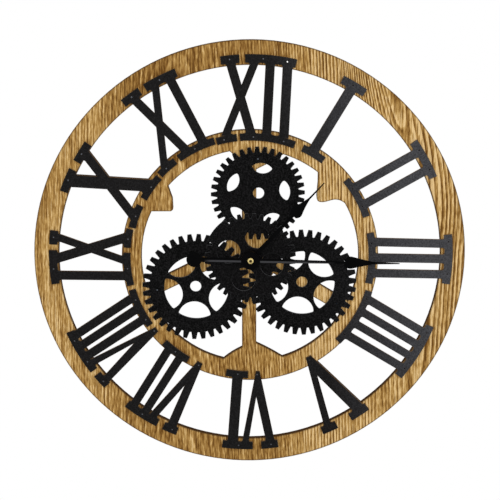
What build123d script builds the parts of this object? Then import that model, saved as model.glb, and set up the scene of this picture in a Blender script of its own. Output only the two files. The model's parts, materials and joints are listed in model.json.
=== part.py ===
from build123d import *
import math
import os

# A large wall clock with a skeleton face, 60 cm across.
# A wooden frame of two rings carries twelve black Roman numerals and three black gear
# cut-outs, a fourth gear lies over them at the centre, and a battery movement behind
# the hub turns two black hands.
# Millimetres. +X is right and +Z is up, seen from the front, which faces -Y. The wall is
# the plane Y = 0, and a depth is a distance out from the wall. The drawings below are
# centred on the dial's axis, and everything is moved down at the end, so that the
# origin is the centre of the hole that hangs the clock.

# Wooden frame. The rings, numerals, large gears and hands are shares of the clock's
# radius, so one face can be made at any size round the same movement.
clock_radius = 300.0
outer_ring_width_share = 0.1133
inner_ring_share = 0.5957
inner_ring_width_share = 0.0913
board_thickness = 8.0
hub_radius = 40.0
arm_width = 20.0
hub_bore_clearance = 0.5
nail_side = 1.6
nail_depth_in_board = 5.0
nail_head_rise = 0.3
nail_clearance = 0.02

# Black cut-outs: numerals and large gears
cutout_thickness = 3.0
outer_overlap_share = 0.429
inner_overlap_share = 0.4854
outer_serif_share = 0.099
inner_serif_share = 0.0877
stroke_fillet = 2.6
corner_reach = 0.5
corner_probes = 16
inside_corner_share = 0.6
fillet_shares = (1.0, 0.6, 0.3)

# Large gears: radii as shares of the radius inside the inner ring, teeth and windows as
# shares of each gear's own radius.
gear_teeth = 36
gear_windows = 5
side_gear_share = 0.4983
side_tooth_share = 0.13
top_gear_share = 0.4283
top_tooth_share = 0.127
centre_gear_share = 0.4187
centre_tooth_share = 0.118
gear_hole_radius = 7.75
centre_gear_windows = 4
centre_window_share = 0.259
centre_window_place_share = 0.4985
window_corner = 2.4
plain_rim_rise = 1.0
tab_corner = 4.5

# Movement: housing. The case is a square as wide as the battery in its bay needs.
case_depth = 16.5
case_wall = 1.5
case_corner = 3.0
cover_recess = 2.7
battery_radius = 7.25
battery_length = 50.5
battery_tip_radius = 2.75
battery_tip_length = 1.3
battery_clearance = 0.15
bay_wall = 1.3
contact_thickness = 0.4
contact_spring_length = 1.7
contact_width = 8.0
contact_strip_width = 2.6
hook_rise = 37.0
hook_hole_radius = 4.0
hook_tab_width = 22.0
hook_tab_top = 5.5
hook_tab_thickness = 3.0
screw_radius = 0.9
screw_post_radius = 1.6
screw_head_radius = 1.25
screw_head_height = 0.9
screw_length = 8.0
screw_clearance = 0.02
screw_margin = 0.2

# Movement: shaft, pipe and bushing
bushing_radius = 4.0
bushing_rise = 23.0
minute_shaft_radius = 1.4
hour_pipe_radius = 2.5
hour_collar_radius = 3.3
clutch_collar_radius = 2.0
clutch_collar_thickness = 0.3
arbor_radius = 0.6
setting_shaft_radius = 1.2
running_gap = 0.05
end_gap = 0.25
pivot_depth = 0.8
spacer_radius = 5.2
washer_radius = 9.0
washer_thickness = 0.8
hex_nut_width = 13.0
hex_nut_height = 2.6
hex_nut_sides = 6

# Movement: small wheels. The module is the pitch diameter over the number of teeth.
wheel_module = 0.4
wheel_thickness = 0.8
level_gap = 0.6
pinion_overlap = 0.2
plate_thickness = 0.8
cannon_teeth = 10
minute_wheel_teeth = 30
minute_pinion_teeth = 8
hour_wheel_teeth = 32
setting_teeth = 10
third_pinion_teeth = 6
centre_wheel_teeth = 48
second_pinion_teeth = 6
third_wheel_teeth = 45
intermediate_pinion_teeth = 8
second_wheel_teeth = 40
rotor_pinion_teeth = 6
intermediate_wheel_teeth = 36
rotor_magnet_radius = 3.0
rotor_magnet_length = 2.0
rotor_air_gap = 0.4
stator_thickness = 1.0
stator_width = 8.0
stator_leg_width = 2.4
stator_post_radius = 1.0
core_width = 2.4
coil_radius = 2.7
coil_flange_radius = 3.3
coil_flange_thickness = 0.7
coil_length = 19.2
coil_distance = 9.1
circuit_width = 12.0
circuit_height = 7.4
circuit_thickness = 0.8
chip_radius = 2.2
chip_height = 0.7
crystal_radius = 1.0
crystal_length = 6.0
circuit_post_inset = 2.0
knob_radius = 5.0
knob_thickness = 1.9
knob_ridges = 20
knob_ridge_height = 0.2

# Hands
hour_hand_share = 0.491
minute_hand_share = 0.6865
minute_tail_share = 0.26
tail_disc_radius = 10.4
hand_bar_width = 6.6
hand_rib_width = 2.4
hand_thickness = 0.8
hand_rib_rise = 0.5
hand_boss_radius = 12.6
hand_boss_thickness = 1.0
hand_spacing = 3.6
spade_half_width = 8.4
collet_radius = 4.2
collet_height = 2.4
hand_nut_radius = 4.1
hand_nut_height = 3.0
hand_nut_chamfer = 1.3

# Depths out from the wall
board_back = case_depth
board_front = board_back + board_thickness
cutout_front = board_front + cutout_thickness
centre_gear_front = cutout_front + cutout_thickness
washer_front = centre_gear_front + washer_thickness
hex_nut_front = washer_front + hex_nut_height
bushing_front = case_depth + bushing_rise
hour_hand_back = bushing_front + end_gap + collet_height
hour_boss_front = hour_hand_back + hand_thickness + hand_boss_thickness
minute_hand_back = hour_hand_back + hand_spacing
minute_boss_front = minute_hand_back + hand_thickness + hand_boss_thickness
front_wall_back = case_depth - case_wall
cover_front = cover_recess + case_wall
level_step = wheel_thickness + level_gap
rotor_level = cover_front + level_gap
second_level = rotor_level + level_step
third_level = second_level + level_step
centre_level = third_level + level_step
train_plate_back = centre_level + level_step
train_plate_front = train_plate_back + plate_thickness
minute_level = train_plate_front + level_gap
hour_level = minute_level + level_step
stator_back = third_level
stator_middle = stator_back + stator_thickness / 2

# Radii and places that follow
outer_ring_width = clock_radius * outer_ring_width_share
outer_ring_inside = clock_radius - outer_ring_width
outer_ring_middle = clock_radius - outer_ring_width / 2
inner_ring_radius = clock_radius * inner_ring_share
inner_ring_width = clock_radius * inner_ring_width_share
inner_ring_inside = inner_ring_radius - inner_ring_width
inner_ring_middle = inner_ring_radius - inner_ring_width / 2
numeral_outer_radius = outer_ring_inside + outer_ring_width * outer_overlap_share
numeral_inner_radius = inner_ring_radius - inner_ring_width * inner_overlap_share
numeral_middle = (numeral_outer_radius + numeral_inner_radius) / 2
numeral_height = numeral_outer_radius - numeral_inner_radius
outer_serif_width = numeral_height * outer_serif_share
inner_serif_width = numeral_height * inner_serif_share
side_gear_radius = inner_ring_inside * side_gear_share
side_gear_tooth = side_gear_radius * side_tooth_share
top_gear_radius = inner_ring_inside * top_gear_share
top_gear_tooth = top_gear_radius * top_tooth_share
centre_gear_radius = inner_ring_inside * centre_gear_share
centre_gear_tooth = centre_gear_radius * centre_tooth_share
centre_window_radius = centre_gear_radius * centre_window_share
centre_window_place = centre_gear_radius * centre_window_place_share
hour_hand_length = clock_radius * hour_hand_share
minute_hand_length = clock_radius * minute_hand_share
minute_tail = clock_radius * minute_tail_share
bushing_bore_radius = hour_pipe_radius + running_gap
case_inside = (battery_length + contact_spring_length) / 2 + contact_thickness
case_half = case_inside + case_wall
battery_bay = 2 * (battery_radius + battery_clearance)
battery_place = battery_bay / 2 - case_inside
bay_wall_bottom = battery_bay - case_inside
bay_wall_top = bay_wall_bottom + bay_wall
screw_place = case_inside - screw_post_radius + screw_margin

# Numerals. "turn" is the place on the dial in degrees clockwise from 12, and "ends" are
# the inner and outer end, measured outward from the numeral's middle. A bar is its place
# at the middle, its lean (sideways over outward) and its width across. A V is the same for
# its outer left edge, inner left edge, inner right edge and outer right edge, each as place
# and lean. Serifs are left and right ends, and nails are places along the serifs. Ends,
# places and widths are shares of the numeral's height.
numeral_shares = [
    {"name": "numeral_01", "turn": 30.3, "ends": (-0.511, 0.51),
     "bars": [(-0.001, 0.013, 0.126)],
     "outer": [(-0.147, 0.166)], "inner": [(-0.135, 0.158)],
     "outer_nails": [0.0], "inner_nails": [0.0]},
    {"name": "numeral_02", "turn": 60.2, "ends": (-0.496, 0.506),
     "bars": [(-0.117, 0.005, 0.104), (0.122, 0.008, 0.104)],
     "outer": [(-0.25, 0.246)], "inner": [(-0.252, 0.263)],
     "outer_nails": [-0.13, 0.135], "inner_nails": [-0.12, 0.125]},
    {"name": "numeral_03", "turn": 90.3, "ends": (-0.504, 0.517),
     "bars": [(-0.185, 0.023, 0.104), (0.006, 0.015, 0.107), (0.199, 0.017, 0.103)],
     "outer": [(-0.288, 0.324)], "inner": [(-0.309, 0.321)],
     "outer_nails": [-0.2, 0.2], "inner_nails": [-0.18, 0.2]},
    {"name": "numeral_04", "turn": 120.0, "ends": (-0.474, 0.481),
     "bars": [(-0.252, 0.022, 0.101), (-0.081, 0.023, 0.097), (0.088, 0.023, 0.097),
              (0.261, 0.023, 0.102)],
     "outer": [(-0.354, 0.388)], "inner": [(-0.36, 0.379)],
     "outer_nails": [-0.26, 0.265], "inner_nails": [-0.26, 0.26]},
    {"name": "numeral_05", "turn": 150.2, "ends": (-0.497, 0.499),
     "vee": [(-0.173, -0.286), (-0.035, -0.256), (0.082, 0.253), (0.169, 0.266)],
     "outer": [(-0.315, -0.066), (0.128, 0.327)], "inner": [],
     "outer_nails": [-0.19, 0.225], "inner_nails": [0.01]},
    {"name": "numeral_06", "turn": 180.0, "ends": (-0.504, 0.512),
     "vee": [(-0.22, -0.208), (-0.11, -0.212), (-0.046, 0.163), (0.024, 0.186)],
     "bars": [(0.189, 0.072, 0.129)],
     "outer": [(-0.348, -0.136), (-0.032, 0.35)], "inner": [(0.026, 0.3)],
     "outer_nails": [-0.26, 0.145], "inner_nails": [-0.085, 0.155]},
    {"name": "numeral_07", "turn": 210.7, "ends": (-0.489, 0.501),
     "vee": [(-0.25, -0.151), (-0.144, -0.125), (-0.102, 0.176), (-0.015, 0.192)],
     "bars": [(0.114, 0.025, 0.102), (0.282, 0.017, 0.103)],
     "outer": [(-0.348, -0.162), (-0.083, 0.37)], "inner": [(0.0, 0.368)],
     "outer_nails": [-0.28, 0.14], "inner_nails": [-0.145, 0.19]},
    {"name": "numeral_08", "turn": 237.6, "ends": (-0.494, 0.496),
     "vee": [(-0.293, -0.243), (-0.183, -0.277), (-0.129, 0.052), (-0.061, 0.098)],
     "bars": [(0.044, -0.018, 0.106), (0.194, -0.023, 0.104), (0.34, -0.021, 0.107)],
     "outer": [(-0.409, -0.225), (-0.159, 0.408)], "inner": [(-0.053, 0.443)],
     "outer_nails": [-0.34, -0.025, 0.28], "inner_nails": [-0.14, 0.035, 0.31]},
    {"name": "numeral_09", "turn": 270.4, "ends": (-0.491, 0.491),
     "bars": [(-0.227, 0.007, 0.11), (0.107, -0.31, 0.121), (0.109, 0.361, 0.096)],
     "outer": [(-0.333, 0.086), (0.156, 0.327)], "inner": [(-0.353, 0.055), (0.118, 0.349)],
     "outer_nails": [-0.145, 0.245], "inner_nails": [-0.14, 0.225]},
    {"name": "numeral_10", "turn": 297.5, "ends": (-0.514, 0.48),
     "bars": [(0.024, -0.442, 0.16), (0.033, 0.488, 0.12)],
     "outer": [(-0.307, -0.019), (0.088, 0.345)], "inner": [(-0.327, -0.038), (0.054, 0.375)],
     "outer_nails": [-0.155, 0.2], "inner_nails": [-0.18, 0.225]},
    {"name": "numeral_11", "turn": 329.9, "ends": (-0.501, 0.5),
     "bars": [(-0.116, -0.266, 0.11), (-0.116, 0.459, 0.097), (0.242, 0.048, 0.11)],
     "outer": [(-0.36, -0.117), (-0.045, 0.365)], "inner": [(-0.43, -0.181), (-0.13, 0.347)],
     "outer_nails": [-0.235, 0.15], "inner_nails": [-0.32, 0.095]},
    {"name": "numeral_12", "turn": 2.2, "ends": (-0.515, 0.5),
     "bars": [(-0.193, -0.334, 0.114), (-0.182, 0.36, 0.099), (0.141, 0.009, 0.11),
              (0.346, 0.008, 0.115)],
     "outer": [(-0.442, -0.218), (-0.153, 0.453)], "inner": [(-0.462, -0.214), (-0.181, 0.483)],
     "outer_nails": [-0.335, 0.06, 0.345], "inner_nails": [-0.37, -0.02, 0.345]},
]

# The frame has wood behind the V of five and behind most of the X of ten.
vee_strut_numeral = 4
cross_strut_numeral = 9

# Frame arms from the hub to the inner ring: direction in degrees anticlockwise from
# three o'clock, and the sideways shift of the centre line as a share of the hub radius.
arm_turn_and_shift_shares = [(90.0, 0.0375), (206.0, -0.49), (-31.0, 0.17), (-90.0, -0.0375)]

# Outlines of the two tabs and of the spread ends of the upright arms, as shares of the
# radius inside the inner ring.
left_tab_shares = [(-0.94, 0.6), (-0.97, 0.43), (-0.905, 0.433), (-0.702, 0.433),
                   (-0.707, 0.555), (-0.747, 0.67), (-0.79, 0.7)]
right_tab_side_shares = [(0.56, 0.88), (0.617, 0.785), (0.617, 0.7), (0.606, 0.575), (0.612, 0.524)]
right_tab_edge_shares = [(0.72, 0.525), (0.775, 0.537), (0.83, 0.525), (0.872, 0.495)]
right_tab_back_shares = [(0.93, 0.48), (0.85, 0.68)]
left_foot_shares = [(-0.07, -0.856), (-0.145, -0.895), (-0.245, -0.966)]
right_foot_shares = [(0.052, -0.816), (0.163, -0.872), (0.301, -0.954)]
top_left_foot_shares = [(-0.07, -0.86), (-0.125, -0.925), (-0.185, -0.982)]
foot_base_share = 1.03

# Large gears: centre on the dial, as shares of the radius inside the inner ring, and the
# turns of the first tooth and of the first window. The hole and the ring of windows lie a
# little off the centre, by shares of the gear's radius. Each gear is held by one nail, given
# as its turn on the gear and its share of the gear's radius.
top_gear = {"place_shares": (0.0693, 0.5982), "tooth_turn": 1.1, "window_turn": 81.1,
            "hole_shares": (0.014, 0.008), "window_shares": (-0.003, -0.034),
            "nail_turn": 90.0, "nail_share": 0.74}
left_gear = {"place_shares": (-0.497, -0.2757), "tooth_turn": -2.9, "window_turn": -94.3,
             "hole_shares": (-0.014, 0.015), "window_shares": (0.0, -0.002),
             "nail_turn": 184.0, "nail_share": 0.73}
right_gear = {"place_shares": (0.4826, -0.2388), "tooth_turn": 1.95, "window_turn": -99.2,
              "hole_shares": (-0.011, 0.016), "window_shares": (0.0, 0.0),
              "nail_turn": -32.0, "nail_share": 0.755}
centre_gear_tooth_turn = 4.9
centre_gear_window_turn = 73.0
plain_rim_gaps = (12, 13, 14)
tooth_tip_share = 0.42
tooth_root_share = 0.785
side_window_outer_share = 0.598
side_window_apex_share = 0.272
side_window_half_angle = 30.0
top_window_chord_share = 0.6
top_window_half_length_share = 0.222
top_window_outer_share = 0.694
top_window_inner_share = 0.468

# Hands: turn in degrees clockwise from 12, and distances along the hand as shares of its
# length. "bar" is the bar's width where the spade starts, as a share of its full width, and
# "waist" and "slim" are widths of the tapering stretch, as shares of the spade's width.
hour_hand_turn = 43.2
minute_hand_turn = 91.4
hour_spade = {"start": 0.577, "widest": 0.638, "neck": 0.8, "bar": 0.61, "waist": 0.49, "slim": 0.15}
minute_spade = {"start": 0.63, "widest": 0.681, "neck": 0.818, "bar": 0.5, "waist": 0.585, "slim": 0.22}
spade_shoulder_share = 0.6
quarter_round_share = 0.293
needle_half_width_share = 0.2
rib_end_share = 0.5

# Small wheels: the turn from each arbor to the next, anticlockwise from three o'clock,
# and the shares of a tooth's pitch and module.
third_turn = 134.5
second_turn = 63.5
intermediate_turn = -20.0
rotor_turn = -17.7
minute_wheel_turn = 200.0
setting_turn = 175.0
tooth_base_share = 0.6
tooth_rise_share = 0.9
tooth_depth_share = 1.15
circle = 360.0


def at(depth):
    """A sketch plane facing forward, this far out from the wall."""
    return Plane.XZ * Pos(0, 0, depth)


def slab(sketch, back, thickness):
    """A flat piece with its back face at a depth out from the wall."""
    return extrude(at(back) * sketch, thickness)


def disc(radius, back, front, place=(0, 0)):
    return slab(Pos(*place) * Circle(radius), back, front - back)


def block(left, bottom, right, top, back, front):
    """A box between two corners seen from the front, and between two depths."""
    middle = Pos((left + right) / 2, (bottom + top) / 2)
    return slab(middle * Rectangle(right - left, top - bottom), back, front - back)


def polar(radius, degrees):
    """A point by its distance from the axis and its turn anticlockwise from +X."""
    return (radius * math.cos(math.radians(degrees)), radius * math.sin(math.radians(degrees)))


def beside(place, distance, degrees):
    across, up = polar(distance, degrees)
    return (place[0] + across, place[1] + up)


def arc_sector(inner, outer, start, end):
    """The part of a flat ring between two turns."""
    middle = (start + end) / 2
    return filled([
        ThreePointArc(polar(outer, start), polar(outer, middle), polar(outer, end)),
        Line(polar(outer, end), polar(inner, end)),
        ThreePointArc(polar(inner, end), polar(inner, middle), polar(inner, start)),
        Line(polar(inner, start), polar(outer, start)),
    ])


def filled(edges):
    """A face inside a closed run of edges, facing the same way as every other outline."""
    face = make_face(Curve() + edges).face()
    return Sketch() + (face if face.normal_at().Z > 0 else -face)


def scaled(points, scale):
    return [(x * scale, z * scale) for x, z in points]


# Numerals, drawn upright at 12 and then turned into place

def numeral_ends(shares):
    """The radii of one numeral's inner and outer end."""
    return [numeral_middle + share * numeral_height for share in shares["ends"]]


def stroke_point(place, lean, radius):
    """A point of a stroke's edge, at a height above the dial's axis."""
    return (place * numeral_height + lean * (radius - numeral_middle), radius)


def bar_outline(place, lean, width, low, high):
    half = width / 2
    return Polygon(
        stroke_point(place - half, lean, low), stroke_point(place + half, lean, low),
        stroke_point(place + half, lean, high), stroke_point(place - half, lean, high),
        align=None,
    )


def vee_outline(edges, low, high):
    """Both legs of a V, with a blunt point at the low end."""
    outer_left, inner_left, inner_right, outer_right = edges
    closing = inner_left[1] - inner_right[1]
    crotch = numeral_middle + (inner_right[0] - inner_left[0]) * numeral_height / closing
    return Polygon(
        stroke_point(*outer_left, low), stroke_point(*outer_right, low),
        stroke_point(*outer_right, high), stroke_point(*inner_right, high),
        stroke_point(*inner_left, crotch), stroke_point(*inner_left, high),
        stroke_point(*outer_left, high), align=None,
    )


def serif(ends, inner, outer):
    """A curved foot along the ring, between two places across the numeral."""
    middle = (inner + outer) / 2
    left, right = (across_turn(end, middle) for end in ends)
    return arc_sector(inner, outer, right, left)


def across_turn(share, radius):
    """The turn on the dial of a place across an upright numeral."""
    return circle / 4 - math.degrees(share * numeral_height / radius)


def numeral_outline(shares):
    inner, outer = numeral_ends(shares)
    outline = Sketch()
    for ends in shares["outer"]:
        outline += serif(ends, outer - outer_serif_width, outer)
    for ends in shares["inner"]:
        outline += serif(ends, inner, inner + inner_serif_width)
    low = inner + inner_serif_width / 2
    high = outer - outer_serif_width / 2
    for place, lean, width in shares.get("bars", []):
        outline += bar_outline(place, lean, width, low, high)
    if "vee" in shares:
        outline += vee_outline(shares["vee"], inner, high)
    for corner in inside_corners(outline, inner + inner_serif_width, outer - outer_serif_width):
        outline = round_corner(outline, corner)
    return outline


def inside_corners(outline, inner_edge, outer_edge):
    """The inside corners where the strokes run into the serifs."""
    corners = []
    for vertex in outline.vertices():
        reach = math.hypot(vertex.X, vertex.Y)
        gap = min(abs(reach - outer_edge), abs(reach - inner_edge))
        if gap < corner_reach and material_share(outline, vertex) > inside_corner_share:
            corners.append(Vector(vertex.X, vertex.Y, 0))
    return corners


def material_share(outline, vertex):
    """How much of a small circle round a corner is material."""
    inside = 0
    for step in range(corner_probes):
        x, z = polar(corner_reach, step * circle / corner_probes)
        if outline.face().is_inside(Vector(vertex.X + x, vertex.Y + z, 0)):
            inside += 1
    return inside / corner_probes


def round_corner(outline, corner):
    """Round one corner, with a smaller radius where two strokes stand close."""
    vertex = min(outline.vertices(), key=lambda point: (Vector(point) - corner).length)
    for share in fillet_shares:
        try:
            return fillet(vertex, stroke_fillet * share)
        except ValueError:
            continue
    return outline


def nail_places(shares):
    """The nails of one numeral, on the dial."""
    inner, outer = numeral_ends(shares)
    rows = [
        (outer - outer_serif_width / 2, shares["outer_nails"]),
        (inner + inner_serif_width / 2, shares["inner_nails"]),
    ]
    return [
        polar(radius, across_turn(share, radius) - shares["turn"])
        for radius, row in rows for share in row
    ]


def squares(places, side):
    """Small squares, each turned to face the dial's axis."""
    outline = Sketch()
    for x, z in places:
        outline += Pos(x, z) * Rot(0, 0, math.degrees(math.atan2(z, x))) * Rectangle(side, side)
    return outline


def numeral(shares):
    face = Rot(0, 0, -shares["turn"]) * numeral_outline(shares)
    face -= squares(nail_places(shares), nail_side + 2 * nail_clearance)
    return slab(face, board_front, cutout_thickness)


# Large gears

def toothed_outline(root, tip, teeth, turn, root_share, tip_share):
    """A closed outline of straight-sided teeth, pointed where the tip share is nothing."""
    pitch = circle / teeth
    points = []
    for index in range(teeth):
        middle = turn + index * pitch
        root_half = root_share * pitch / 2
        tip_half = tip_share * pitch / 2
        points.append(polar(root, middle - root_half))
        points.append(polar(tip, middle - tip_half))
        if tip_half > 0:
            points.append(polar(tip, middle + tip_half))
        points.append(polar(root, middle + root_half))
    return Polygon(*points, align=None)


def large_gear_outline(radius, tooth, turn):
    return toothed_outline(
        radius - tooth, radius, gear_teeth, turn, tooth_root_share, tooth_tip_share)


def side_window():
    """A window with its outer edge along the rim and a round inner edge."""
    outer = side_gear_radius * side_window_outer_share
    left = polar(outer, side_window_half_angle)
    right = polar(outer, -side_window_half_angle)
    window = filled([
        ThreePointArc(left, (outer, 0), right),
        ThreePointArc(right, (side_gear_radius * side_window_apex_share, 0), left),
    ])
    return fillet(window.vertices(), window_corner)


def top_window():
    """A lens with its long axis along the rim."""
    chord = top_gear_radius * top_window_chord_share
    half = top_gear_radius * top_window_half_length_share
    outer = top_gear_radius * top_window_outer_share
    inner = top_gear_radius * top_window_inner_share
    window = filled([
        ThreePointArc((chord, half), (outer, 0), (chord, -half)),
        ThreePointArc((chord, -half), (inner, 0), (chord, half)),
    ])
    return fillet(window.vertices(), window_corner)


def gear_centre(gear):
    return scaled([gear["place_shares"]], inner_ring_inside)[0]


def off_centre(shares, radius):
    return Pos(*scaled([shares], radius)[0])


def gear_nail(gear, radius):
    return beside(gear_centre(gear), radius * gear["nail_share"], gear["nail_turn"])


def outer_gear(gear, radius, tooth, window):
    """One of the three gears that lie flat on the frame's arms."""
    face = large_gear_outline(radius, tooth, gear["tooth_turn"])
    face -= off_centre(gear["hole_shares"], radius) * Circle(gear_hole_radius)
    for index in range(gear_windows):
        turned = Rot(0, 0, gear["window_turn"] + index * circle / gear_windows) * window
        face -= off_centre(gear["window_shares"], radius) * turned
    face = Pos(*gear_centre(gear)) * face
    face -= squares([gear_nail(gear, radius)], nail_side + 2 * nail_clearance)
    return slab(face, board_front, cutout_thickness)


def centre_gear():
    """The gear over the hub, with round windows and some gaps left uncut."""
    face = large_gear_outline(centre_gear_radius, centre_gear_tooth, centre_gear_tooth_turn)
    pitch = circle / gear_teeth
    tip_half = tooth_tip_share * pitch / 2
    for gap in plain_rim_gaps:
        start = centre_gear_tooth_turn + gap * pitch
        face += arc_sector(
            centre_gear_radius - 2 * centre_gear_tooth, centre_gear_radius + plain_rim_rise,
            start - tip_half, start + pitch + tip_half,
        )
    for index in range(centre_gear_windows):
        turn = centre_gear_window_turn + index * circle / centre_gear_windows
        face -= Pos(*polar(centre_window_place, turn)) * Circle(centre_window_radius)
    face -= Circle(bushing_radius + hub_bore_clearance)
    return slab(face, cutout_front, cutout_thickness)


# Wooden frame

def arm(turn, shift_share):
    start = Pos(inner_ring_middle / 2, shift_share * hub_radius)
    return Rot(0, 0, turn) * start * Rectangle(inner_ring_middle, arm_width)


def left_tab():
    tab = Polygon(*scaled(left_tab_shares, inner_ring_inside), align=None)
    corner = max(tab.vertices(), key=lambda vertex: vertex.X - vertex.Y)
    return fillet(corner, tab_corner)


def right_tab():
    side = scaled(right_tab_side_shares, inner_ring_inside)
    edge = scaled(right_tab_edge_shares, inner_ring_inside)
    back = scaled(right_tab_back_shares, inner_ring_inside)
    tab = filled([
        Polyline(*side), Spline(side[-1], *edge), Polyline(edge[-1], *back, side[0]),
    ])
    corner = min(tab.vertices(), key=lambda vertex: vertex.X + vertex.Y)
    return fillet(corner, tab_corner)


def arm_foot(left_shares, right_shares):
    """The spread end of an upright arm, drawn at the bottom of the ring."""
    left = scaled(left_shares, inner_ring_inside)
    right = scaled(right_shares, inner_ring_inside)
    base = -foot_base_share * inner_ring_inside
    return filled([
        Spline(*left),
        Polyline(left[-1], (left[-1][0], base), (right[-1][0], base), right[-1]),
        Spline(*reversed(right)),
        Line(right[0], left[0]),
    ])


def vee_strut():
    """Wood behind the V of five, from ring to ring."""
    shares = numeral_shares[vee_strut_numeral]
    strut = vee_outline(shares["vee"], inner_ring_middle, outer_ring_middle)
    return Rot(0, 0, -shares["turn"]) * strut


def cross_strut():
    """Wood behind the X of ten: its wide stroke, and its narrow stroke's outer half."""
    shares = numeral_shares[cross_strut_numeral]
    wide, narrow = shares["bars"]
    strut = bar_outline(*wide, inner_ring_middle, outer_ring_middle)
    strut += bar_outline(*narrow, numeral_middle, outer_ring_middle)
    return Rot(0, 0, -shares["turn"]) * strut


def frame_board():
    face = Circle(clock_radius) - Circle(outer_ring_inside)
    face += Circle(inner_ring_radius) - Circle(inner_ring_inside)
    face += Circle(hub_radius)
    for turn, shift_share in arm_turn_and_shift_shares:
        face += arm(turn, shift_share)
    face += arm_foot(left_foot_shares, right_foot_shares)
    face += mirror(arm_foot(top_left_foot_shares, right_foot_shares), about=Plane.XZ)
    face += [left_tab(), right_tab(), vee_strut(), cross_strut()]
    face -= Circle(bushing_radius + hub_bore_clearance)
    board = slab(face, board_back, board_thickness)
    sockets = squares(numeral_nail_places() + gear_nail_places(), nail_side + 2 * nail_clearance)
    return board - slab(sockets, board_front - nail_depth_in_board, nail_depth_in_board)


def numeral_nail_places():
    return [place for shares in numeral_shares for place in nail_places(shares)]


def gear_nail_places():
    return [
        gear_nail(top_gear, top_gear_radius), gear_nail(left_gear, side_gear_radius),
        gear_nail(right_gear, side_gear_radius),
    ]


def nails(places):
    length = nail_depth_in_board + cutout_thickness + nail_head_rise
    return slab(squares(places, nail_side), board_front - nail_depth_in_board, length)


# Hands, drawn pointing to 12 and then turned

def hand_face(length, spade):
    """The outline of a spade hand, from its foot on the boss to its tip."""
    foot = (hand_bar_width / 2, 0)
    start = (foot[0] * spade["bar"], length * spade["start"])
    widest = (spade_half_width, length * spade["widest"])
    back = (spade_half_width * spade_shoulder_share, start[1])
    neck = (spade_half_width * spade["slim"], length * spade["neck"])
    waist = (spade_half_width * spade["waist"], (widest[1] + neck[1]) / 2)
    tip = (foot[0] * needle_half_width_share, length)
    half = filled([
        Polyline((0, 0), foot, start, back), ThreePointArc(back, shoulder(back, widest), widest),
        ThreePointArc(widest, waist, neck), Polyline(neck, tip, (0, length), (0, 0)),
    ])
    return half + mirror(half, about=Plane.YZ)


def shoulder(back, widest):
    """The middle of the quarter round at the back of a spade."""
    across = widest[0] - (widest[0] - back[0]) * quarter_round_share
    along = back[1] + (widest[1] - back[1]) * quarter_round_share
    return (across, along)


def hand(length, spade, back, pipe_radius, collet, tail=None):
    """A flat hand with a raised rib, a boss, and a collet gripping its pipe."""
    front = back + hand_thickness
    face = hand_face(length, spade) + Circle(hand_boss_radius)
    rib_length = length * spade["start"] * rib_end_share
    rib = Pos(0, rib_length / 2) * Rectangle(hand_rib_width, rib_length)
    if tail:
        face += Pos(0, -tail / 2) * Rectangle(hand_bar_width, tail)
        face += Pos(0, -tail) * Circle(tail_disc_radius)
        rib += Pos(0, -tail / 2) * Rectangle(hand_rib_width, tail)
    solid = slab(face, back, hand_thickness) + slab(rib, front, hand_rib_rise)
    solid += disc(hand_boss_radius, front, front + hand_boss_thickness)
    solid += disc(collet_radius, back - collet, back)
    return solid - disc(pipe_radius, back - collet, front + hand_boss_thickness)


def hour_hand():
    solid = hand(hour_hand_length, hour_spade, hour_hand_back, hour_pipe_radius, collet_height)
    return Rot(0, hour_hand_turn, 0) * solid


def minute_hand():
    collet = minute_hand_back - hour_boss_front - 2 * end_gap
    solid = hand(
        minute_hand_length, minute_spade, minute_hand_back, minute_shaft_radius, collet, minute_tail)
    return Rot(0, minute_hand_turn, 0) * solid


def hand_nut():
    front = minute_boss_front + hand_nut_height
    nut = disc(hand_nut_radius, minute_boss_front, front)
    nut = chamfer(nut.faces().sort_by(Axis.Y)[0].edges(), hand_nut_chamfer)
    return nut - disc(minute_shaft_radius, minute_boss_front, front)


# Small wheels of the movement

def mesh_distance(teeth, next_teeth):
    return wheel_module * (teeth + next_teeth) / 2


def arbor_places():
    """Where the arbors stand, each at its meshing distance from the one before."""
    third = beside((0, 0), mesh_distance(centre_wheel_teeth, third_pinion_teeth), third_turn)
    second = beside(third, mesh_distance(third_wheel_teeth, second_pinion_teeth), second_turn)
    intermediate = beside(
        second, mesh_distance(second_wheel_teeth, intermediate_pinion_teeth), intermediate_turn)
    rotor = beside(
        intermediate, mesh_distance(intermediate_wheel_teeth, rotor_pinion_teeth), rotor_turn)
    minute = beside((0, 0), mesh_distance(cannon_teeth, minute_wheel_teeth), minute_wheel_turn)
    setting = beside(minute, mesh_distance(minute_wheel_teeth, setting_teeth), setting_turn)
    return {
        "centre": (0, 0), "third": third, "second": second, "intermediate": intermediate,
        "rotor": rotor, "minute": minute, "setting": setting,
    }


def meshed(turn, teeth, direction, next_teeth):
    """The turn of a tooth that puts the next wheel's teeth into this wheel's gaps."""
    passed = (direction - turn) * teeth / circle
    pitch = circle / next_teeth
    return direction + circle / 2 - pitch / 2 + pitch * passed


def wheel_turns():
    """The turn of one tooth of every small wheel."""
    third = meshed(0, centre_wheel_teeth, third_turn, third_pinion_teeth)
    second = meshed(third, third_wheel_teeth, second_turn, second_pinion_teeth)
    intermediate = meshed(second, second_wheel_teeth, intermediate_turn, intermediate_pinion_teeth)
    rotor = meshed(intermediate, intermediate_wheel_teeth, rotor_turn, rotor_pinion_teeth)
    minute = meshed(0, cannon_teeth, minute_wheel_turn, minute_wheel_teeth)
    setting = meshed(minute, minute_wheel_teeth, setting_turn, setting_teeth)
    hour = meshed(minute, minute_pinion_teeth, minute_wheel_turn + circle / 2, hour_wheel_teeth)
    return {
        "third": third, "second": second, "intermediate": intermediate, "rotor": rotor,
        "minute": minute, "setting": setting, "hour": hour,
    }


arbors = arbor_places()
turns = wheel_turns()


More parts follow.
